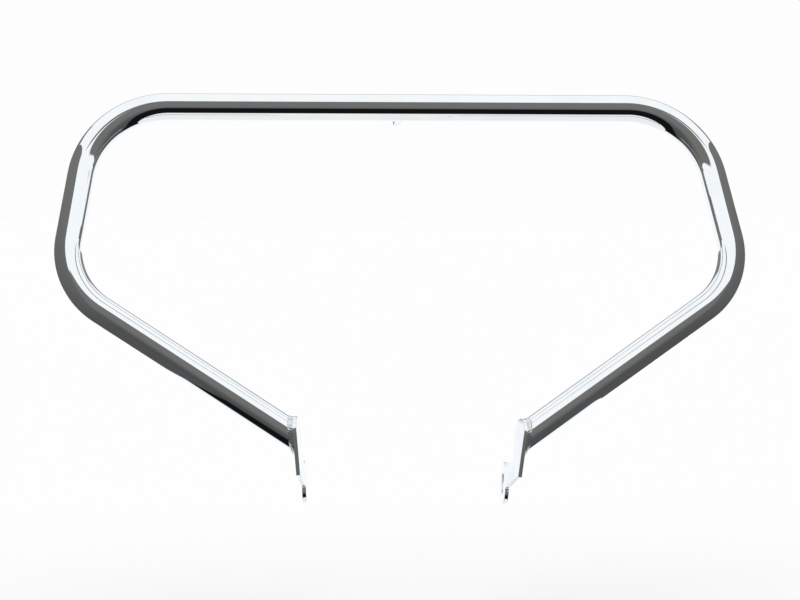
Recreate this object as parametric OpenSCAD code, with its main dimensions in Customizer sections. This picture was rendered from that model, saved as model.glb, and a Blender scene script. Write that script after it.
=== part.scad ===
// Front engine guard for a cruiser motorcycle.
// One bent steel tube closes round the engine as a wide loop. Its two arms end
// on bolted foot plates, and a lug behind the top rail takes the upper bolt.
// X runs across the machine, Y to the rear and Z up. The origin is the centre
// of the upper bolt hole. All sizes are in millimetres and degrees.

/* [Tube] */
// Outside diameter of the tube
tube_d = 31.75; // [28:0.25:34]
// Wall of the tube
tube_wall = 2.5; // [1.6:0.1:4]
// Diameter of the vent hole behind each arm
vent_d = 6; // [4:0.5:8]
// Distance of each vent hole from its foot plate, along the arm
vent_reach = 42; // [34:1:80]

/* [Loop] */
// Straight length of the top rail
rail_len = 538; // [440:2:640]
// Centreline radius of the two upper bends
upper_bend_r = 102; // [80:1:120]
// Straight length of each side
side_len = 80; // [50:1:120]
// Angle by which the sides spread out downwards
side_splay = 9.5; // [4:0.5:14]
// Centreline radius of the two lower bends
lower_bend_r = 87; // [75:1:110]
// Slope of the arms below level
arm_slope = 35; // [28:0.5:40]
// Angle by which the whole loop leans back on the machine
rake = 22; // [0:1:30]

/* [Foot plates] */
// Distance of the left plate's outer face from the middle, at the arm
left_reach = 132; // [116:1:146]
// Distance of the right plate's outer face from the middle, at the arm
right_reach = 124; // [116:1:146]
// Angle by which the left plate closes in downwards
left_cant = 0.5; // [0:0.5:8]
// Angle by which the right plate closes in downwards
right_cant = 4; // [0:0.5:8]
// Angle by which the plates close in towards the rear
foot_toe = 12; // [0:0.5:14]
// Thickness of the foot plates
plate_t = 4.5; // [4:0.5:7]
// Width of a plate's round end, which carries the arm
shank_w = 35; // [34:0.5:42]
// Distance of the round end's centre ahead of the arm's centre
shank_lead = 1.5; // [0:0.25:2]
// Height of the round end above the arm's centre
shank_top = 22.5; // [21.5:0.5:28]
// Depth of the plate's front corner below the arm's centre
shank_drop = 45; // [40:1:54]

/* [Bolting tabs] */
// Distance of the slot behind the arm's centre
tab_setback = 53.5; // [48:0.5:60]
// Width of the tab
tab_w = 25; // [22:0.5:28]
// Depth of the tab's upper end below the arm's centre
tab_top = 14; // [11:0.5:16]
// Height of the tab
tab_h = 48.5; // [46:0.5:56]
// Angle by which the tab is bent back outwards
tab_bend = 6.5; // [0:0.5:12]
// Depth of the web's upper edge below the arm's centre
web_top = 21; // [18:0.5:24]
// Depth at which the web's lower edge meets the tab
web_low = 47.5; // [42:0.5:49]
// Length of the slot
slot_len = 24; // [16:1:28]
// Diameter of the mounting bolts
bolt_d = 8; // [6:1:10]
// Radius in the corner between the round end and the web
corner_r = 12; // [6:0.5:14]

/* [Upper lug] */
// Thickness of the lug
lug_t = 6.5; // [5:0.5:10]
// Radius of the lug's round end
lug_r = 11; // [9:0.5:13]
// Distance from the rail's centre to the bolt hole
lug_reach = 26; // [25:0.5:40]

/* [Weld beads] */
// Leg of the arm beads along the plate
bead_foot = 2.2; // [1.5:0.1:3.5]
// Leg of the arm beads along the tube
bead_rise = 5.5; // [3:0.1:8]
// Leg of the lug's beads
bead_leg = 4; // [2:0.1:5]

/* [Fits] */
// Clearance of a bolt in its hole, across the diameter
bolt_clear = 0.5; // [0.2:0.1:0.8]

/* [Hidden] */
$fn = 96;

chrome = "silver";
bead_chrome = "gainsboro";

tube_bore = tube_d - 2 * tube_wall;
upper_turn = 90 - side_splay;
lower_turn = 90 + side_splay - arm_slope;
end_heading = upper_turn + lower_turn;

// Each arm starts at this distance from the centre and height below the rail.
arm_start_x = rail_len / 2 + upper_bend_r * sin(upper_turn) + side_len * cos(upper_turn)
            + lower_bend_r * (sin(end_heading) - sin(upper_turn));
arm_start_z = upper_bend_r * (cos(upper_turn) - 1) - side_len * sin(upper_turn)
            + lower_bend_r * (cos(end_heading) - cos(upper_turn));

// Each side's foot is its reach from the middle and its cant.
left = [left_reach, left_cant];
right = [right_reach, right_cant];

// The arms run on by this much, and the foot plates' faces cut them off.
arm_spare = tube_d;
// Bent stretches swell a little in the wall, and take in the ends of the runs.
bend_swell = 0.01;
lap = 0.5;
cutter = 4 * tube_d;

bolt_hole_d = bolt_d + bolt_clear;
shank_r = shank_w / 2;
shank_centre = shank_top - shank_r;
shank_lean = asin(shank_r / (shank_drop + shank_centre));
tab_r = tab_w / 2;
tab_front = tab_setback - tab_r;
tab_corner_r = 4;
slot_run = slot_len - bolt_hole_d;
slot_drop = tab_top + tab_h / 2;
through = 1;
skin = 0.2;

function arm_len(side) = (arm_start_x - side[0]) / cos(arm_slope);
function foot_z(side) = arm_start_z - arm_len(side) * sin(arm_slope);

// Places a shape drawn about the top rail's centre on the machine.
module on_machine() {
    rotate([-rake, 0, 0])
        translate([0, -lug_reach, 0])
            children();
}

// Stands a shape drawn in X and Y up in the plane of the loop.
module in_loop_plane() {
    rotate([90, 0, 0])
        children();
}

// Places a shape on the outer face of a foot plate. There X points out of the
// plate, Y runs along it to the rear, and Z up.
module at_foot(side) {
    translate([side[0], 0, foot_z(side)])
        rotate([0, side[1], 0])
            rotate([0, 0, foot_toe])
                children();
}

module on_left() {
    mirror([1, 0, 0])
        children();
}

// Cross-section of the tube, with its wall grown by swell on both sides.
module tube_section(swell = 0) {
    difference() {
        circle(d = tube_d + 2 * swell);
        circle(d = tube_bore - 2 * swell);
    }
}

// A straight run along X of the 2D section given.
module run(len) {
    rotate([90, 0, 90])
        linear_extrude(len)
            children();
}

// A bend that starts along X and turns down, of the 2D section given.
module bend(r, turn) {
    translate([0, -r, 0])
        rotate(90 - turn)
            rotate_extrude(angle = turn)
                translate([r, 0])
                    children();
}

module past_run(len) {
    translate([len, 0, 0])
        children();
}

module past_bend(r, turn) {
    translate([0, -r, 0])
        rotate(-turn)
            translate([0, r, 0])
                children();
}

module past_side() {
    past_run(rail_len / 2)
        past_bend(upper_bend_r, upper_turn)
            past_run(side_len)
                children();
}

module past_lower_bend() {
    past_side()
        past_bend(lower_bend_r, lower_turn)
            children();
}

// The right side of the loop, from the end of the top rail to the arm.
module right_side() {
    in_loop_plane() {
        past_run(rail_len / 2) {
            bend(upper_bend_r, upper_turn)
                tube_section(bend_swell);
            past_bend(upper_bend_r, upper_turn)
                past_run(-lap)
                    run(side_len + 2 * lap)
                        tube_section();
        }
        past_side()
            bend(lower_bend_r, lower_turn)
                tube_section(bend_swell);
    }
}

// An arm with the 2D section given, run on through its foot plate.
module arm(side) {
    in_loop_plane()
        past_lower_bend()
            past_run(-lap)
                run(lap + arm_len(side) + arm_spare)
                    children();
}

// A hole through the rear wall of an arm, which lets the plating drain.
module vent(side) {
    in_loop_plane()
        past_lower_bend()
            translate([arm_len(side) - vent_reach, 0, -tube_d])
                cylinder(d = vent_d, h = tube_d);
}

// What lies inside a foot plate's outer face.
module inside_foot(side) {
    at_foot(side)
        translate([-cutter, -cutter / 2, -cutter / 2])
            cube(cutter);
}

module half_tube(side) {
    right_side();
    difference() {
        arm(side)
            tube_section();
        inside_foot(side);
        vent(side);
    }
}

module main_tube() {
    color(chrome)
        on_machine() {
            past_run(-rail_len / 2 - lap)
                run(rail_len + 2 * lap)
                    tube_section();
            half_tube(right);
            on_left()
                half_tube(left);
        }
}

// Fills the corner between +X and +Y with a round of radius r.
module corner_fill(r) {
    difference() {
        square(r);
        translate([r, r])
            circle(r);
    }
}

// The tab's outline: two round ends and what lies between them.
module tab_outline() {
    for (drop = [tab_r, tab_h - tab_r])
        translate([tab_setback, -tab_top - drop])
            circle(r = tab_r);
    translate([tab_front, -tab_top - tab_h + tab_r])
        square([tab_w, tab_h - tab_w]);
}

// Side outline of a foot plate about the arm's centre, X to the rear, Y up.
module foot_outline() {
    shank_rear = shank_r - shank_lead;
    translate([-shank_lead, shank_centre])
        circle(r = shank_r);
    polygon([
        [-shank_lead - shank_r * cos(shank_lean), shank_centre - shank_r * sin(shank_lean)],
        [-shank_lead, -shank_drop],
        [tab_front, -web_low],
        [tab_setback, -web_low],
        [tab_setback, -web_top],
        [shank_rear, -web_top],
        [shank_rear, shank_centre]
    ]);
    tab_outline();
    translate([shank_rear, -web_top])
        corner_fill(corner_r);
    translate([tab_front + lap, -web_low + lap])
        rotate(180)
            corner_fill(tab_corner_r);
}

// Plan of a foot plate, plate_t thick, with its tab bent back outwards.
module foot_plan() {
    spare = 2 * tab_w;
    reach_out = spare * sin(tab_bend);
    reach_back = tab_front + spare * cos(tab_bend);
    polygon([
        [0, -shank_w],
        [0, tab_front],
        [reach_out, reach_back],
        [reach_out - plate_t * cos(tab_bend), reach_back + plate_t * sin(tab_bend)],
        [-plate_t, tab_front + plate_t * tan(tab_bend / 2)],
        [-plate_t, -shank_w]
    ]);
}

// The outline turned to stand on a plate's face and swept over a depth.
module foot_blank(depth) {
    rotate([90, 0, 90])
        linear_extrude(depth)
            foot_outline();
}

// The slot for a mounting bolt, square to the bent tab.
module foot_slot() {
    translate([0, tab_front, -slot_drop])
        rotate([0, 0, -tab_bend])
            translate([-plate_t - through, tab_r, 0])
                run(plate_t + 2 * through) {
                    for (rise = [-slot_run / 2, slot_run / 2])
                        translate([0, rise])
                            circle(d = bolt_hole_d);
                    square([bolt_hole_d, slot_run], center = true);
                }
}

module foot_plate() {
    difference() {
        intersection() {
            translate([-2 * plate_t, 0, 0])
                foot_blank(2 * plate_t + tab_w);
            translate([0, 0, -2 * tab_h])
                linear_extrude(4 * tab_h)
                    foot_plan();
        }
        foot_slot();
    }
}

module left_foot_plate() {
    color(chrome)
        on_machine()
            on_left()
                at_foot(left)
                    foot_plate();
}

module right_foot_plate() {
    color(chrome)
        on_machine()
            at_foot(right)
                foot_plate();
}

// A slice of an arm, grown by extra all round, at a height over the plate.
module arm_slice(side, extra, height) {
    intersection() {
        arm(side)
            circle(d = tube_d + 2 * extra, $fn = 64);
        at_foot(side)
            translate([height, -cutter / 2, -cutter / 2])
                cube([skin, cutter, cutter]);
    }
}

// The fillet bead that joins an arm to its plate, kept on the plate.
module arm_bead(side) {
    difference() {
        intersection() {
            hull() {
                arm_slice(side, bead_foot, 0);
                arm_slice(side, skin, bead_rise - skin);
            }
            at_foot(side)
                foot_blank(bead_rise);
        }
        arm(side)
            circle(d = tube_d);
    }
}

module right_arm_weld() {
    color(bead_chrome)
        on_machine()
            arm_bead(right);
}

module left_arm_weld() {
    color(bead_chrome)
        on_machine()
            on_left()
                arm_bead(left);
}

// Side outline of the lug about the rail's centre, X to the rear, Y up.
module lug_outline() {
    translate([lug_reach, 0])
        circle(r = lug_r);
    translate([0, -lug_r])
        square([lug_reach, 2 * lug_r]);
}

module upper_lug() {
    color(chrome)
        on_machine()
            difference() {
                rotate([90, 0, 90])
                    translate([0, 0, -lug_t / 2])
                        linear_extrude(lug_t)
                            lug_outline();
                past_run(-lug_t)
                    run(2 * lug_t)
                        circle(d = tube_d);
                translate([-lug_t, lug_reach, 0])
                    run(2 * lug_t)
                        circle(d = bolt_hole_d);
            }
}

// The bead on the lug's right face, which follows the rail round its back.
module lug_bead() {
    half_span = asin(2 * lug_r / tube_d);
    rotate([0, 90, 0])
        rotate(90 - half_span)
            rotate_extrude(angle = 2 * half_span)
                polygon([
                    [tube_d / 2, lug_t / 2],
                    [tube_d / 2 + bead_leg, lug_t / 2],
                    [tube_d / 2, lug_t / 2 + bead_leg]
                ]);
}

module lug_weld() {
    color(bead_chrome)
        on_machine() {
            lug_bead();
            on_left()
                lug_bead();
        }
}

main_tube();
left_foot_plate();
right_foot_plate();
upper_lug();
left_arm_weld();
right_arm_weld();
lug_weld();
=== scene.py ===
import math

import bmesh
import bpy
from mathutils import Matrix, Vector


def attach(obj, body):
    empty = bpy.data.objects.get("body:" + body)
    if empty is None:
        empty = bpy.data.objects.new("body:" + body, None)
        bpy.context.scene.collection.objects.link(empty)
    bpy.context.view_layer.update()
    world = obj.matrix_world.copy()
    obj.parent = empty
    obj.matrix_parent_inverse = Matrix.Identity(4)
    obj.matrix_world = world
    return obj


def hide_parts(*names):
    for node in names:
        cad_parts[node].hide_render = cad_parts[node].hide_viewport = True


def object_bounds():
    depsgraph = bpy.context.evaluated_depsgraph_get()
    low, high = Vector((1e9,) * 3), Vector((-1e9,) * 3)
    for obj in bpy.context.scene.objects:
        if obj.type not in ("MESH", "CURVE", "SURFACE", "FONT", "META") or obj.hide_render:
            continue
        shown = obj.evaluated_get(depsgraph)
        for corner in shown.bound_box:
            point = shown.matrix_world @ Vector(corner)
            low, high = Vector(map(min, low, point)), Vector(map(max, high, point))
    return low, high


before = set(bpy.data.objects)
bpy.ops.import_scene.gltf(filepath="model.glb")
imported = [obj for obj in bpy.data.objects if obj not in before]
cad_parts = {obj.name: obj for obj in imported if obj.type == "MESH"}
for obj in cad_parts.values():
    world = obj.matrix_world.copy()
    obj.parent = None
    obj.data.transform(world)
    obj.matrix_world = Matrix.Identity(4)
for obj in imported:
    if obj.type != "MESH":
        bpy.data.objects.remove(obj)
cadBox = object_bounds()
scene = bpy.context.scene
scene.view_settings.view_transform = "Standard"
print("frame loaded:", len(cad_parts), "pieces")


# camera: nearly level, a little left of the middle and low on the bar
camera = {
    "place": (-0.30055, -2.83857, -0.07866),
    "tilt": 87.2152,     # degrees up from straight down
    "roll": -0.0358,
    "turn": -6.1318,     # degrees about the vertical
    "lens": 108.0,
    "sensor": 36.0,
    "reach": 80.0,       # how far it sees, past the floor's edge
}


def makeCamera():
    data = bpy.data.cameras.new("studioCamera")
    data.lens = camera["lens"]
    data.sensor_width = camera["sensor"]
    data.clip_end = camera["reach"]
    obj = bpy.data.objects.new("studioCamera", data)
    obj.location = camera["place"]
    obj.rotation_euler = [math.radians(camera[key]) for key in ("tilt", "roll", "turn")]
    scene.collection.objects.link(obj)
    scene.camera = obj


makeCamera()
print("camera set")


# small helpers for shader trees
def addNode(tree, kind, place=(0, 0), **settings):
    node = tree.nodes.new(kind)
    node.location = place
    for name, value in settings.items():
        setattr(node, name, value)
    return node


def feed(tree, target, value):
    if isinstance(value, (int, float, tuple)):
        target.default_value = value
    else:
        tree.links.new(value, target)


def calc(tree, operation, first, second=None, third=None, place=(0, 0)):
    node = addNode(tree, "ShaderNodeMath", place, operation=operation)
    for i, value in enumerate((first, second, third)):
        if value is not None:
            feed(tree, node.inputs[i], value)
    return node.outputs[0]


def ramp(tree, value, low, high, place=(0, 0)):
    node = addNode(tree, "ShaderNodeMapRange", place, interpolation_type="SMOOTHSTEP")
    feed(tree, node.inputs["Value"], value)
    feed(tree, node.inputs["From Min"], low)
    feed(tree, node.inputs["From Max"], high)
    return node.outputs[0]


def blend(tree, factor, first, second, place=(0, 0)):
    node = addNode(tree, "ShaderNodeMix", place, data_type="RGBA")
    feed(tree, node.inputs[0], factor)
    feed(tree, node.inputs[6], first)
    feed(tree, node.inputs[7], second)
    return node.outputs[2]


# studio: a pale tent, a dim room in front of it, and dark screens low down
studio = {
    "tent": (1.02, 1.045, 1.06, 1),
    "room": (0.178, 0.174, 0.168, 1),
    "roomFoot": (0.078, 0.08, 0.082, 1),
    "screen": (0.006, 0.007, 0.008, 1),     # low in front, black
    "strip": (0.225, 0.228, 0.232, 1),      # low cloth far behind
    "table": (0.93, 0.935, 0.93, 1),        # pale top under the bar
    "backdrop": (0.985, 0.985, 0.985, 1),
    "roomTop": 0.62,            # height, as a sine, at which the tent starts
    "roomFall": 0.54,           # how fast that height falls to the sides
    "screenTop": -0.135,
    "screenFall": 0.95,
    "tableTop": -0.785,
    "stripSlope": 0.41,
    "stripHeight": 0.485,
    "sun": 0.127,
    "sunSpread": 50.0,
    "sunTilt": (24.0, -10.0),
    "floor": (0.985, 0.965, 0.955, 1),
    "floorDrop": 0.12,          # gap under the lowest tab
    "floorSize": 60.0,
}


def makeWorld():
    world = bpy.data.worlds.new("studioWorld")
    scene.world = world
    world.use_nodes = True
    tree = world.node_tree
    tree.nodes.clear()
    coords = addNode(tree, "ShaderNodeTexCoord", (-1900, 0))
    split = addNode(tree, "ShaderNodeSeparateXYZ", (-1700, 0))
    tree.links.new(coords.outputs["Generated"], split.inputs[0])
    x, y, z = split.outputs
    sideSquare = calc(tree, "MULTIPLY", x, x, place=(-1500, 150))
    # dim room, a little darker at its foot
    top = calc(tree, "MULTIPLY_ADD", sideSquare, -studio["roomFall"], studio["roomTop"],
               place=(-1100, 300))
    below = ramp(tree, calc(tree, "SUBTRACT", top, z, place=(-1100, 150)), -0.012, 0.012, (-900, 300))
    front = ramp(tree, y, 0.42, 0.22, (-900, 150))
    room = calc(tree, "MULTIPLY", below, front, place=(-700, 300))
    roomTone = blend(tree, ramp(tree, z, 0.2, -0.4, (-300, 500)),
                     studio["room"], studio["roomFoot"], (-100, 400))
    # black screens low in front
    cut = calc(tree, "MULTIPLY_ADD", sideSquare, -studio["screenFall"], studio["screenTop"],
               place=(-1100, 0))
    screen = ramp(tree, calc(tree, "SUBTRACT", cut, z, place=(-900, 0)), -0.015, 0.03, (-700, 100))
    screen = calc(tree, "MULTIPLY", screen, front, place=(-500, 100))
    # low cloth far behind
    level = calc(tree, "MULTIPLY_ADD", y, studio["stripSlope"], z, place=(-1100, -150))
    level = calc(tree, "SUBTRACT", level, studio["stripHeight"], place=(-900, -150))
    upper = ramp(tree, level, 0.33, 0.28, (-700, -100))
    lower = ramp(tree, level, -0.09, -0.05, (-700, -250))
    strip = calc(tree, "MULTIPLY", upper, lower, place=(-500, -150))
    strip = calc(tree, "MULTIPLY", strip, ramp(tree, y, 0.45, 0.60, (-700, -400)), place=(-350, -150))
    # pale table straight below
    table = ramp(tree, calc(tree, "MULTIPLY_ADD", sideSquare, 0.25, z, place=(-700, -1000)),
                 studio["tableTop"] + 0.012, studio["tableTop"] - 0.012, (-500, -1000))
    colour = blend(tree, strip, studio["tent"], studio["strip"], (-150, 0))
    colour = blend(tree, room, colour, roomTone, (150, 0))
    colour = blend(tree, screen, colour, studio["screen"], (300, 0))
    colour = blend(tree, table, colour, studio["table"], (450, 0))
    around = addNode(tree, "ShaderNodeBackground", (620, 0))
    tree.links.new(colour, around.inputs["Color"])
    white = addNode(tree, "ShaderNodeBackground", (620, 150))
    white.inputs["Color"].default_value = studio["backdrop"]
    paths = addNode(tree, "ShaderNodeLightPath", (620, 450))
    mix = addNode(tree, "ShaderNodeMixShader", (820, 50))
    tree.links.new(paths.outputs["Is Camera Ray"], mix.inputs[0])
    tree.links.new(around.outputs[0], mix.inputs[1])
    tree.links.new(white.outputs[0], mix.inputs[2])
    out = addNode(tree, "ShaderNodeOutputWorld", (1000, 0))
    tree.links.new(mix.outputs[0], out.inputs["Surface"])


def makeSun():
    data = bpy.data.lights.new("softSun", "SUN")
    data.energy = studio["sun"] * math.pi
    data.angle = math.radians(studio["sunSpread"])
    obj = bpy.data.objects.new("softSun", data)
    obj.rotation_euler = [math.radians(angle) for angle in (*studio["sunTilt"], 0)]
    obj.visible_glossy = False
    scene.collection.objects.link(obj)


def makeFloor():
    mesh = bpy.data.meshes.new("studioFloor")
    half = studio["floorSize"] / 2
    low = cadBox[0][2] - studio["floorDrop"]
    mesh.from_pydata([(-half, -half, low), (half, -half, low), (half, half, low), (-half, half, low)],
                     [], [(0, 1, 2, 3)])
    obj = bpy.data.objects.new("studioFloor", mesh)
    scene.collection.objects.link(obj)
    mat = bpy.data.materials.new("paleFloor")
    mat.use_nodes = True
    shader = mat.node_tree.nodes["Principled BSDF"]
    shader.inputs["Base Color"].default_value = studio["floor"]
    shader.inputs["Roughness"].default_value = 1.0
    shader.inputs["Specular IOR Level"].default_value = 0.0
    mesh.materials.append(mat)
    obj.visible_glossy = False      # the bar mirrors the tent's own table


# grey cards that only the metal sees: one close outside each side of the loop,
# and a high one in front of the rail
cards = {
    "top": (0.178, 0.176, 0.172, 1),
    "foot": (0.085, 0.087, 0.088, 1),
    "toneHeights": (0.0, -0.35),        # where the top and the foot tone are reached
    "sideDistance": 0.43,
    "side": [(-0.30, -0.52), (0.20, -0.52), (0.33, 0.07), (0.06, 0.07),
             (0.0, 0.01), (-0.13, 0.06), (-0.21, -0.15)],       # (y, z)
    "highDistance": -0.3,
    "high": [(-0.44, 0.24), (-0.36, 0.21), (0.42, 0.21), (0.5, 0.24),
             (0.42, 0.33), (-0.36, 0.33)],                      # (x, z)
}


def makeCard(name, corners):
    mesh = bpy.data.meshes.new(name)
    mesh.from_pydata(corners, [], [tuple(range(len(corners)))])
    obj = bpy.data.objects.new(name, mesh)
    scene.collection.objects.link(obj)
    mat = bpy.data.materials.new(name)
    mat.use_nodes = True
    tree = mat.node_tree
    tree.nodes.clear()
    coords = addNode(tree, "ShaderNodeTexCoord", (-700, 0))
    split = addNode(tree, "ShaderNodeSeparateXYZ", (-500, 0))
    tree.links.new(coords.outputs["Object"], split.inputs[0])
    depth = ramp(tree, split.outputs[2], *cards["toneHeights"], (-350, 0))
    colour = blend(tree, depth, cards["top"], cards["foot"], (-150, 0))
    glow = addNode(tree, "ShaderNodeEmission", (0, 0))
    tree.links.new(colour, glow.inputs["Color"])
    out = addNode(tree, "ShaderNodeOutputMaterial", (200, 0))
    tree.links.new(glow.outputs[0], out.inputs["Surface"])
    mesh.materials.append(mat)
    for ray in ("camera", "diffuse", "transmission", "volume_scatter", "shadow"):
        setattr(obj, "visible_" + ray, False)


makeWorld()
makeSun()
makeFloor()
makeCard("leftCard", [(-cards["sideDistance"], y, z) for y, z in cards["side"]])
makeCard("rightCard", [(cards["sideDistance"], y, z) for y, z in cards["side"]])
makeCard("highCard", [(x, cards["highDistance"], z) for x, z in cards["high"]])
print("studio lit")


# shared effects, as node groups
def newGroup(name, inputs, outputs):
    group = bpy.data.node_groups.new(name, "ShaderNodeTree")
    for label, kind, value in inputs:
        socket = group.interface.new_socket(label, in_out="INPUT", socket_type=kind)
        if value is not None:
            socket.default_value = value
    for label, kind in outputs:
        group.interface.new_socket(label, in_out="OUTPUT", socket_type=kind)
    return group, addNode(group, "NodeGroupInput", (-1100, 0)), addNode(group, "NodeGroupOutput", (700, 0))


def makeStraightTube():
    # the run along the bent tube and the place round it, as one straight bar
    group, ins, outs = newGroup(
        "straightTube",
        [("UV", "NodeSocketVector", None), ("Radius", "NodeSocketFloat", 0.016)],
        [("Vector", "NodeSocketVector")])
    split = addNode(group, "ShaderNodeSeparateXYZ", (-850, 0))
    group.links.new(ins.outputs["UV"], split.inputs[0])
    angle = calc(group, "DIVIDE", split.outputs[1], ins.outputs["Radius"], place=(-650, 0))
    join = addNode(group, "ShaderNodeCombineXYZ", (-50, 0))
    group.links.new(split.outputs[0], join.inputs[0])
    for i, operation in ((1, "COSINE"), (2, "SINE")):
        part = calc(group, operation, angle, place=(-450, -150 * i))
        part = calc(group, "MULTIPLY", part, ins.outputs["Radius"], place=(-250, -150 * i))
        group.links.new(part, join.inputs[i])
    group.links.new(join.outputs[0], outs.inputs["Vector"])
    return group


def makePolishMarks():
    group, ins, outs = newGroup(
        "polishMarks",
        [("Vector", "NodeSocketVector", None), ("Along", "NodeSocketFloat", 20.0),
         ("Across", "NodeSocketFloat", 900.0), ("Roughness", "NodeSocketFloat", 0.03),
         ("Spread", "NodeSocketFloat", 0.02), ("Wave Scale", "NodeSocketFloat", 30.0),
         ("Wave", "NodeSocketFloat", 0.2)],
        [("Roughness", "NodeSocketFloat"), ("Height", "NodeSocketFloat")])
    scale = addNode(group, "ShaderNodeCombineXYZ", (-900, 200))
    group.links.new(ins.outputs["Along"], scale.inputs[0])
    group.links.new(ins.outputs["Across"], scale.inputs[1])
    group.links.new(ins.outputs["Across"], scale.inputs[2])
    stretched = addNode(group, "ShaderNodeVectorMath", (-700, 150), operation="MULTIPLY")
    group.links.new(ins.outputs["Vector"], stretched.inputs[0])
    group.links.new(scale.outputs[0], stretched.inputs[1])
    fine = addNode(group, "ShaderNodeTexNoise", (-500, 200))
    group.links.new(stretched.outputs[0], fine.inputs["Vector"])
    fine.inputs["Scale"].default_value = 1.0
    fine.inputs["Detail"].default_value = 4.0
    broad = addNode(group, "ShaderNodeTexNoise", (-500, -100))
    group.links.new(ins.outputs["Vector"], broad.inputs["Vector"])
    group.links.new(ins.outputs["Wave Scale"], broad.inputs["Scale"])
    broad.inputs["Detail"].default_value = 1.5
    worn = ramp(group, fine.outputs[0], 0.35, 0.75, (-250, 300))
    rough = calc(group, "MULTIPLY_ADD", worn, ins.outputs["Spread"], ins.outputs["Roughness"], (0, 250))
    group.links.new(rough, outs.inputs["Roughness"])
    lift = calc(group, "MULTIPLY", fine.outputs[0], 0.03, place=(0, 50))
    roll = calc(group, "MULTIPLY_ADD", broad.outputs[0], ins.outputs["Wave"], lift, (200, 0))
    group.links.new(roll, outs.inputs["Height"])
    return group


def makeDustFilm():
    group, ins, outs = newGroup(
        "dustFilm",
        [("Vector", "NodeSocketVector", None), ("Scale", "NodeSocketFloat", 40.0),
         ("Amount", "NodeSocketFloat", 0.3), ("Specks", "NodeSocketFloat", 0.3)],
        [("Film", "NodeSocketFloat"), ("Specks", "NodeSocketFloat")])
    cloud = addNode(group, "ShaderNodeTexNoise", (-600, 150))
    group.links.new(ins.outputs["Vector"], cloud.inputs["Vector"])
    group.links.new(ins.outputs["Scale"], cloud.inputs["Scale"])
    cloud.inputs["Detail"].default_value = 3.0
    film = ramp(group, cloud.outputs[0], 0.42, 0.72, (-350, 150))
    film = calc(group, "MULTIPLY", film, ins.outputs["Amount"], place=(0, 150))
    group.links.new(film, outs.inputs["Film"])
    finer = calc(group, "MULTIPLY", ins.outputs["Scale"], 9.0, place=(-850, -150))
    grains = addNode(group, "ShaderNodeTexVoronoi", (-600, -150))
    group.links.new(ins.outputs["Vector"], grains.inputs["Vector"])
    group.links.new(finer, grains.inputs["Scale"])
    dot = ramp(group, grains.outputs["Distance"], 0.10, 0.04, (-350, -150))
    dot = calc(group, "MULTIPLY", dot, ins.outputs["Specks"], place=(0, -150))
    group.links.new(dot, outs.inputs["Specks"])
    return group


straightTube = makeStraightTube()
polishMarks = makePolishMarks()
dustFilm = makeDustFilm()

finishes = {
    "tubeChrome": {
        "color": (0.885, 0.90, 0.915), "dull": (0.80, 0.815, 0.83),
        "rough": 0.022, "spread": 0.022, "along": 14.0, "across": 620.0,
        "waveScale": 9.0, "wave": 0.5, "bump": 0.10, "depth": 0.0002,
        "dustScale": 26.0, "dust": 0.30, "specks": 0.20, "radius": 0.015875,
    },
    "plateChrome": {
        "color": (0.87, 0.885, 0.91), "dull": (0.78, 0.795, 0.82),
        "rough": 0.045, "spread": 0.04, "along": 60.0, "across": 900.0,
        "waveScale": 45.0, "wave": 0.6, "bump": 0.10, "depth": 0.0002,
        "dustScale": 60.0, "dust": 0.35, "specks": 0.25,
    },
    "weldChrome": {
        "color": (0.74, 0.76, 0.78), "dull": (0.50, 0.51, 0.53),
        "rough": 0.12, "spread": 0.12, "along": 400.0, "across": 500.0,
        "waveScale": 420.0, "wave": 1.0, "bump": 0.45, "depth": 0.0002,
        "dustScale": 160.0, "dust": 0.7, "specks": 0.5,
    },
}


def makeChrome(name):
    look = finishes[name]
    mat = bpy.data.materials.new(name)
    mat.use_nodes = True
    tree = mat.node_tree
    shader = tree.nodes["Principled BSDF"]
    shader.inputs["Metallic"].default_value = 1.0
    coords = addNode(tree, "ShaderNodeTexCoord", (-1300, 0))
    vector = coords.outputs["Object"]
    if "radius" in look:        # marks that follow the tube round its bends
        bar = addNode(tree, "ShaderNodeGroup", (-1100, 0), node_tree=straightTube)
        bar.inputs["Radius"].default_value = look["radius"]
        tree.links.new(coords.outputs["UV"], bar.inputs["UV"])
        vector = bar.outputs["Vector"]
    marks = addNode(tree, "ShaderNodeGroup", (-850, -150), node_tree=polishMarks)
    film = addNode(tree, "ShaderNodeGroup", (-850, 200), node_tree=dustFilm)
    for node, labels in ((marks, {"Along": "along", "Across": "across", "Roughness": "rough",
                                  "Spread": "spread", "Wave Scale": "waveScale", "Wave": "wave"}),
                         (film, {"Scale": "dustScale", "Amount": "dust", "Specks": "specks"})):
        tree.links.new(vector, node.inputs["Vector"])
        for label, key in labels.items():
            node.inputs[label].default_value = look[key]
    soiled = calc(tree, "ADD", film.outputs["Film"], film.outputs["Specks"], place=(-600, 250))
    colour = blend(tree, soiled, (*look["color"], 1), (*look["dull"], 1), (-350, 250))
    tree.links.new(colour, shader.inputs["Base Color"])
    rough = calc(tree, "MULTIPLY_ADD", film.outputs["Specks"], 0.25, marks.outputs["Roughness"], (-350, 0))
    tree.links.new(rough, shader.inputs["Roughness"])
    bump = addNode(tree, "ShaderNodeBump", (-350, -250))
    bump.inputs["Strength"].default_value = look["bump"]
    bump.inputs["Distance"].default_value = look["depth"]
    tree.links.new(marks.outputs["Height"], bump.inputs["Height"])
    tree.links.new(bump.outputs[0], shader.inputs["Normal"])
    return mat


materials = {name: makeChrome(name) for name in finishes}
print("finishes mixed")


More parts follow.
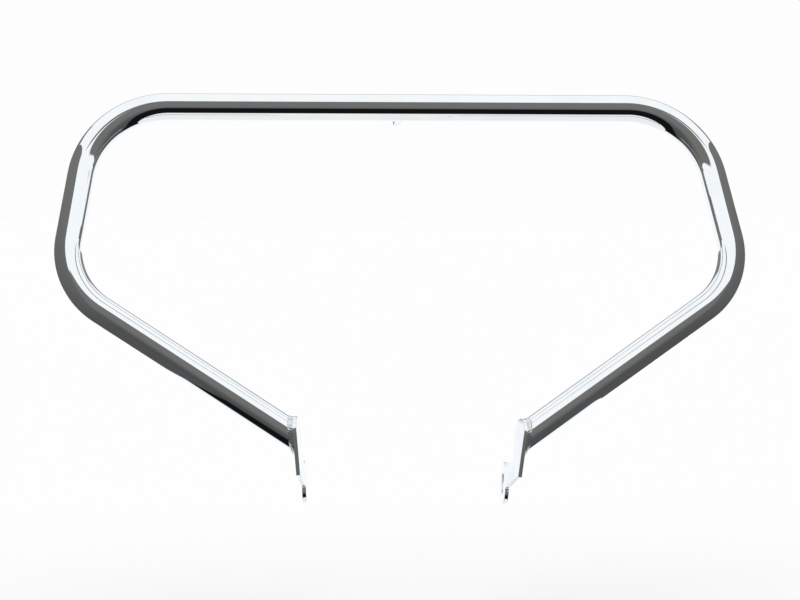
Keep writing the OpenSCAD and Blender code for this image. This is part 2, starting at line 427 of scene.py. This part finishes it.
# the loop, in metres and degrees, drawn about the middle of its top rail
loop = {
    "railLength": 0.538,
    "upperRadius": 0.102,
    "sideLength": 0.080,
    "sideSplay": 9.5,
    "lowerRadius": 0.087,
    "armSlope": 35.0,
    "tube": 0.03175,
    "wall": 0.0025,
    "rake": 22.0,
    "ventWidth": 0.006,
    "ventReach": 0.042,
    "roundSteps": 96,
    "bendStep": 2.0,
}
lug = {
    "reach": 0.026,
    "radius": 0.011,
    "thickness": 0.0065,
    "bolt": 0.0085,
    "edge": 0.0007,
}
foot = {
    "reach": {"left": 0.132, "right": 0.124},
    "cant": {"left": 0.5, "right": 4.0},
    "toe": 12.0,
    "thickness": 0.0045,
    "edge": 0.0006,
    "roundRadius": 0.0175,
    "lead": 0.0015,
    "top": 0.0225,
    "drop": 0.045,
    "tabBack": 0.0535,
    "tabWidth": 0.025,
    "tabTop": 0.014,
    "tabHeight": 0.0485,
    "tabBend": 6.5,
    "webTop": 0.021,
    "cornerRadius": 0.012,
    "filletPlace": (0.0375, -0.051),    # the small corner between web and tab
    "filletRadius": 0.004,
    "filletTurn": (64.5, 29),
    "slotWidth": 0.0085,
    "slotLength": 0.024,
    "sunk": 0.0003,         # how far a hidden end runs into its neighbour
}
onMachine = (Matrix.Rotation(math.radians(-loop["rake"]), 4, "X")
             @ Matrix.Translation((0, -lug["reach"], 0)))
mirrorX = Matrix.Scale(-1, 4, (1, 0, 0))


def rightPath():
    # centreline of the right half as (x, z, heading, run so far), heading turning down from +X
    path = [(loop["railLength"] / 2, 0.0, 0.0, loop["railLength"] / 2)]

    def bend(radius, turn):
        x, z, heading, run = path[-1]
        cx, cz = x - radius * math.sin(heading), z - radius * math.cos(heading)
        steps = math.ceil(math.degrees(turn) / loop["bendStep"])
        for i in range(1, steps + 1):
            angle = heading + turn * i / steps
            path.append((cx + radius * math.sin(angle), cz + radius * math.cos(angle), angle,
                         run + radius * turn * i / steps))

    bend(loop["upperRadius"], math.radians(90 - loop["sideSplay"]))
    x, z, heading, run = path[-1]
    length = loop["sideLength"]
    path.append((x + length * math.cos(heading), z - length * math.sin(heading), heading, run + length))
    bend(loop["lowerRadius"], math.radians(90 + loop["sideSplay"] - loop["armSlope"]))
    return path


halfPath = rightPath()
armStart = Vector((halfPath[-1][0], 0, halfPath[-1][1]))
armAim = Vector((math.cos(halfPath[-1][2]), 0, -math.sin(halfPath[-1][2])))
armOut = Vector((math.sin(halfPath[-1][2]), 0, math.cos(halfPath[-1][2])))


def armLength(side):
    return (armStart.x - foot["reach"][side]) / -armAim.x


def footPlace(side):
    # a foot plate's outer face where the arm's middle meets it, as if on the right
    spot = armStart + armAim * armLength(side)
    return (Matrix.Translation(spot) @ Matrix.Rotation(math.radians(foot["cant"][side]), 4, "Y")
            @ Matrix.Rotation(math.radians(foot["toe"]), 4, "Z"))


def ontoSide(side):
    return onMachine @ mirrorX if side == "left" else onMachine


def addObject(name, bm, matrix, material, sharp=40.0):
    bmesh.ops.transform(bm, matrix=matrix, verts=bm.verts)
    if matrix.determinant() < 0:
        bmesh.ops.reverse_faces(bm, faces=bm.faces)
    mesh = bpy.data.meshes.new(name)
    bm.to_mesh(mesh)
    bm.free()
    mesh.materials.append(material)
    mesh.set_sharp_from_angle(angle=math.radians(sharp))
    obj = bpy.data.objects.new(name, mesh)
    scene.collection.objects.link(obj)
    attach(obj, "root")
    return obj


def tubeRings(radius):
    steps = loop["roundSteps"]
    stations = [(Vector((-x, 0, z)), Vector((-math.sin(heading), 0, math.cos(heading))), -run)
                for x, z, heading, run in reversed(halfPath)]
    stations += [(Vector((x, 0, z)), Vector((math.sin(heading), 0, math.cos(heading))), run)
                 for x, z, heading, run in halfPath]
    turns = [2 * math.pi * i / steps for i in range(steps)]
    rings = [([spot + radius * (math.cos(a) * out + math.sin(a) * Vector((0, 1, 0))) for a in turns], run)
             for spot, out, run in stations]
    for side, end in (("left", 0), ("right", -1)):
        # run the arm down to its plate and cut it off there
        flip = Vector((-1, 1, 1)) if side == "left" else Vector((1, 1, 1))
        place = footPlace(side)
        normal = place.to_3x3() @ Vector((1, 0, 0))
        face = place.translation - normal * foot["sunk"]
        points, run = rings[end]
        ring = []
        for point in points:
            p = point * flip
            ring.append((p + armAim * ((face - p).dot(normal) / armAim.dot(normal))) * flip)
        if side == "left":
            rings.insert(0, (ring, run - armLength(side)))
        else:
            rings.append((ring, run + armLength(side)))
    return rings


def makeVentDrill(side):
    drill = bmesh.new()
    bmesh.ops.create_cone(drill, cap_ends=True, segments=40, radius1=loop["ventWidth"] / 2,
                          radius2=loop["ventWidth"] / 2, depth=loop["tube"])
    spot = armStart + armAim * (armLength(side) - loop["ventReach"]) + Vector((0, loop["tube"] / 2, 0))
    place = ontoSide(side) @ Matrix.Translation(spot) @ Matrix.Rotation(math.radians(90), 4, "X")
    bmesh.ops.transform(drill, matrix=place, verts=drill.verts)
    bmesh.ops.recalc_face_normals(drill, faces=drill.faces)
    for face in drill.faces:
        face.smooth = len(face.verts) == 4
    mesh = bpy.data.meshes.new("ventDrill")
    drill.to_mesh(mesh)
    drill.free()
    obj = bpy.data.objects.new("ventDrill", mesh)
    scene.collection.objects.link(obj)
    return obj


def makeTube():
    bm = bmesh.new()
    uv = bm.loops.layers.uv.new("UVMap")
    steps = loop["roundSteps"]
    walls = []
    for radius in (loop["tube"] / 2, loop["tube"] / 2 - loop["wall"]):
        walls.append([([bm.verts.new(p) for p in points], run) for points, run in tubeRings(radius)])
    for number, rings in enumerate(walls):
        for (lower, runA), (upper, runB) in zip(rings, rings[1:]):
            for i in range(steps):
                j = (i + 1) % steps
                corners = [(lower[i], runA, i), (upper[i], runB, i),
                           (upper[j], runB, i + 1), (lower[j], runA, i + 1)]
                if number == 1:
                    corners.reverse()
                face = bm.faces.new([c[0] for c in corners])
                face.smooth = True
                for corner, (_, run, turn) in zip(face.loops, corners):
                    corner[uv].uv = (run, turn * math.pi * loop["tube"] / steps)
    for end in (0, -1):
        outer, inner = walls[0][end][0], walls[1][end][0]
        for i in range(steps):
            j = (i + 1) % steps
            bm.faces.new([outer[i], outer[j], inner[j], inner[i]])
    bmesh.ops.recalc_face_normals(bm, faces=bm.faces)
    tube = addObject("guardTube", bm, onMachine, materials["tubeChrome"])
    # one vent through the rear wall of each arm
    drills = [makeVentDrill(side) for side in ("left", "right")]
    for drill in drills:
        cut = tube.modifiers.new("vent", "BOOLEAN")
        cut.operation = "DIFFERENCE"
        cut.solver = "EXACT"
        cut.object = drill
    bpy.context.view_layer.update()
    tube.data = bpy.data.meshes.new_from_object(tube.evaluated_get(bpy.context.evaluated_depsgraph_get()))
    tube.modifiers.clear()
    for drill in drills:
        bpy.data.objects.remove(drill)
    tube.data.name = "guardTube"
    tube.data.set_sharp_from_angle(angle=math.radians(40))
    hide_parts("main_tube")


makeTube()
print("tube bent and drilled")


def arc(cx, cy, radius, start, end, steps):
    angles = [math.radians(start + (end - start) * i / steps) for i in range(steps + 1)]
    return [(cx + radius * math.cos(angle), cy + radius * math.sin(angle)) for angle in angles]


def footOutline():
    # seen from the side, first number to the rear and second up, anticlockwise
    f = foot
    tabRadius = f["tabWidth"] / 2
    rear = f["roundRadius"] - f["lead"]
    centre = f["top"] - f["roundRadius"]
    lean = math.degrees(math.asin(f["roundRadius"] / (f["drop"] + centre)))
    tip = math.degrees(math.asin((f["tabTop"] + tabRadius - f["webTop"]) / tabRadius))
    points = [(-f["lead"], -f["drop"])]
    points += arc(*f["filletPlace"], f["filletRadius"], *f["filletTurn"], 5)
    points += arc(f["tabBack"], -f["tabTop"] - f["tabHeight"] + tabRadius, tabRadius, 180, 360, 32)
    points += arc(f["tabBack"], -f["tabTop"] - tabRadius, tabRadius, 0, 180 - tip, 28)
    points += arc(rear + f["cornerRadius"], -f["webTop"] + f["cornerRadius"],
                  f["cornerRadius"], 270, 180, 14)
    points += arc(-f["lead"], centre, f["roundRadius"], 0, 180 + lean, 40)
    return points


def slotRing():
    x, y = foot["tabBack"], -foot["tabTop"] - foot["tabHeight"] / 2
    radius = foot["slotWidth"] / 2
    half = (foot["slotLength"] - foot["slotWidth"]) / 2
    return arc(x, y + half, radius, 0, 180, 14) + arc(x, y - half, radius, 180, 360, 14)


def lugOutline():
    tube = loop["tube"] / 2 - foot["sunk"]
    half = math.degrees(math.asin(lug["radius"] / tube))
    return arc(0, 0, tube, half, -half, 16) + arc(lug["reach"], 0, lug["radius"], -90, 90, 36)


def tidyRing(ring):
    # leaves out points that fall on the one before
    near = 2e-5
    kept = []
    for point in ring:
        if not kept or math.dist(point, kept[-1]) > near:
            kept.append(point)
    if math.dist(kept[0], kept[-1]) < near:
        kept.pop()
    return kept


def inset(ring, amount):
    # moves a ring's points in by the amount, square to its edges
    moved = []
    for i, point in enumerate(ring):
        before, here, after = Vector(ring[i - 1]), Vector(point), Vector(ring[(i + 1) % len(ring)])
        a, b = (here - before).normalized(), (after - here).normalized()
        na, nb = Vector((-a.y, a.x)), Vector((-b.y, b.x))
        middle = (na + nb) / max(1 + na.dot(nb), 0.5)
        moved.append((here.x + middle.x * amount, here.y + middle.y * amount))
    return moved


def plateMesh(outline, hole, thickness, edge, steps=4):
    # a flat plate from -thickness to 0 along X with rounded edges; a ring's
    # first number runs along Y and its second up
    bm = bmesh.new()
    rims = []
    rows = []
    for i in range(steps + 1):
        angle = math.pi / 2 * i / steps
        rows.append((edge * (1 - math.sin(angle)), -edge * (1 - math.cos(angle))))
    rows += [(amount, -thickness - depth) for amount, depth in reversed(rows)]
    for ring, inward in ((tidyRing(outline), 1), (tidyRing(hole), -1)):
        rounds = []
        for amount, depth in rows:
            points = inset(ring, amount * inward) if amount > 1e-9 else ring
            rounds.append([bm.verts.new((depth, u, v)) for u, v in points])
        for upper, lower in zip(rounds, rounds[1:]):
            for i in range(len(ring)):
                j = (i + 1) % len(ring)
                bm.faces.new([upper[i], lower[i], lower[j], upper[j]]).smooth = True
        rims.append((rounds[0], rounds[-1]))
    for level in (0, 1):
        edges = [bm.edges.get((rim[level][i - 1], rim[level][i]))
                 for rim in rims for i in range(len(rim[level]))]
        bmesh.ops.triangle_fill(bm, edges=edges, use_beauty=True)
    bmesh.ops.recalc_face_normals(bm, faces=bm.faces)
    return bm


def makeFoot(side):
    bm = plateMesh(footOutline(), slotRing(), foot["thickness"], foot["edge"])
    # crease the plate where its tab bends back outwards
    front = foot["tabBack"] - foot["tabWidth"] / 2
    bend = math.radians(foot["tabBend"])
    bmesh.ops.bisect_plane(bm, geom=bm.verts[:] + bm.edges[:] + bm.faces[:], dist=1e-6,
                           plane_co=(0, front, 0), plane_no=(math.sin(bend / 2), math.cos(bend / 2), 0))
    for vert in bm.verts:
        past = vert.co.y - front + vert.co.x * math.tan(bend / 2)
        if past > 0:
            vert.co.x += past * math.tan(bend)
    plate = addObject(side + "FootPlate", bm, ontoSide(side) @ footPlace(side), materials["plateChrome"])
    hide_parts(side + "_foot_plate")


def makeLug():
    thickness = lug["thickness"]
    hole = arc(lug["reach"], 0, lug["bolt"] / 2, 0, 350, 35)
    bm = plateMesh(lugOutline(), hole, thickness, lug["edge"])
    place = onMachine @ Matrix.Translation((thickness / 2, 0, 0))
    plate = addObject("upperLug", bm, place, materials["plateChrome"])
    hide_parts("upper_lug")


for side in ("left", "right"):
    makeFoot(side)
makeLug()
print("plates cut and bent")


# weld beads: rows of overlapping ripples in the corner between two surfaces
bead = {
    "alongPlate": 0.0022,
    "alongTube": 0.0055,
    "lugLeg": 0.0040,
    "ripple": 0.0027,        # pitch of the ripples
    "rippleHeight": 0.00032,
    "rippleShare": 0.72,     # share of the pitch that stands up
    "ripplePower": 0.7,
    "chevron": 1.3,          # how far a ripple's middle runs ahead of its ends
    "bulge": 0.30,
    "across": 12,
    "perRipple": 10,
    "sunk": 0.00015,         # how far the toes dip into the metal
    "leastWidth": 0.0004,
    "edgeGap": 0.0007,       # plate left free outside the bead
    "ovalStretch": 1.1,      # the slanted end is longer round than the tube
    "lugSteps": 90,
    "lugEnd": 0.45,          # leg at a lug bead's ends, as a share
    "lugSwell": 1.65,
    "sharp": 75.0,
}


def rippleMesh(bm, rows, closed):
    # a row: the corner, two directions with lengths, and the run along the bead
    across = bead["across"]
    share = bead["rippleShare"]
    rings = []
    for corner, aimA, lengthA, aimB, lengthB, run in rows:
        toeA, toeB = corner + aimA * lengthA, corner + aimB * lengthB
        crown = corner + (aimA * lengthA + aimB * lengthB) * (0.5 + bead["bulge"] / 2)
        out = (aimA + aimB).normalized()
        size = min(1.0, 2 * min(lengthA, lengthB) / bead["alongPlate"])
        ring = []
        for i in range(across + 1):
            t = i / across
            point = toeA * (1 - t) ** 2 + crown * 2 * t * (1 - t) + toeB * t * t
            phase = (run / bead["ripple"] + bead["chevron"] * (t - 0.5) ** 2) % 1.0
            wave = math.sin(math.pi * phase / share) ** bead["ripplePower"] if phase < share else 0.0
            ring.append(point + out * (bead["rippleHeight"] * wave * size * math.sin(math.pi * t)))
        ring.append(toeB - aimA * bead["sunk"])
        ring.append(corner - (aimA + aimB) * bead["sunk"])
        ring.append(toeA - aimB * bead["sunk"])
        rings.append([bm.verts.new(p) for p in ring])
    count = len(rings[0])
    for a, b in list(zip(rings, rings[1:])) + ([(rings[-1], rings[0])] if closed else []):
        for i in range(count):
            j = (i + 1) % count
            bm.faces.new([a[i], a[j], b[j], b[i]]).smooth = True
    if not closed:
        bm.faces.new(rings[0])
        bm.faces.new(rings[-1])
    bmesh.ops.recalc_face_normals(bm, faces=bm.faces)


def roomTo(point, aim, ring):
    # distance from a point to a ring's edge, along a direction
    best = 1.0
    for i in range(len(ring)):
        a = Vector(ring[i - 1])
        e = Vector(ring[i]) - a
        w = a - point
        det = e.x * aim.y - e.y * aim.x
        if abs(det) < 1e-12:
            continue
        t = (e.x * w.y - e.y * w.x) / det
        s = (aim.x * w.y - aim.y * w.x) / det
        if t > 0 and 0 <= s <= 1:
            best = min(best, t)
    return best


def makeArmBead(side):
    place = footPlace(side)
    back = place.inverted()
    normal = place.to_3x3() @ Vector((1, 0, 0))
    radius = loop["tube"] / 2
    outline = footOutline()
    steps = round(2 * math.pi * radius * bead["ovalStretch"] / bead["ripple"]) * bead["perRipple"]
    rise = bead["alongTube"] / -armAim.dot(normal)
    rows = []
    for i in range(steps):
        angle = 2 * math.pi * i / steps
        radial = math.cos(angle) * armOut + math.sin(angle) * Vector((0, 1, 0))
        p = armStart + radial * radius
        corner = p + armAim * ((place.translation - p).dot(normal) / armAim.dot(normal))
        aim = (radial - normal * radial.dot(normal)).normalized()
        spot, away = back @ corner, back.to_3x3() @ aim
        room = roomTo(Vector((spot.y, spot.z)), Vector((away.y, away.z)), outline)
        width = min(bead["alongPlate"], max(bead["leastWidth"], room - bead["edgeGap"]))
        rows.append((corner, aim, width, -armAim, rise, i / bead["perRipple"] * bead["ripple"]))
    bm = bmesh.new()
    rippleMesh(bm, rows, True)
    obj = addObject(side + "ArmBead", bm, ontoSide(side), materials["weldChrome"], sharp=bead["sharp"])
    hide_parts(side + "_arm_weld")


def makeLugBeads():
    radius = loop["tube"] / 2
    half = math.asin(lug["radius"] / radius)
    steps = bead["lugSteps"]
    bm = bmesh.new()
    for sign in (-1, 1):
        rows = []
        for i in range(steps + 1):
            angle = -half + 2 * half * i / steps
            radial = Vector((0, math.cos(angle), math.sin(angle)))
            corner = radial * radius + Vector((sign * lug["thickness"] / 2, 0, 0))
            swell = bead["lugEnd"] + bead["lugSwell"] * math.sin(math.pi * i / steps)
            leg = bead["lugLeg"] * min(1.0, swell)
            rows.append((corner, radial, leg, Vector((sign, 0, 0)), leg, (angle + half) * radius))
        rippleMesh(bm, rows, False)
    obj = addObject("lugBeads", bm, onMachine, materials["weldChrome"], sharp=bead["sharp"])
    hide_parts("lug_weld")


for side in ("left", "right"):
    makeArmBead(side)
makeLugBeads()
print("beads laid")

for name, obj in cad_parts.items():
    obj.data.materials.clear()
    obj.data.materials.append(materials["weldChrome" if name.endswith("weld") else "plateChrome"])
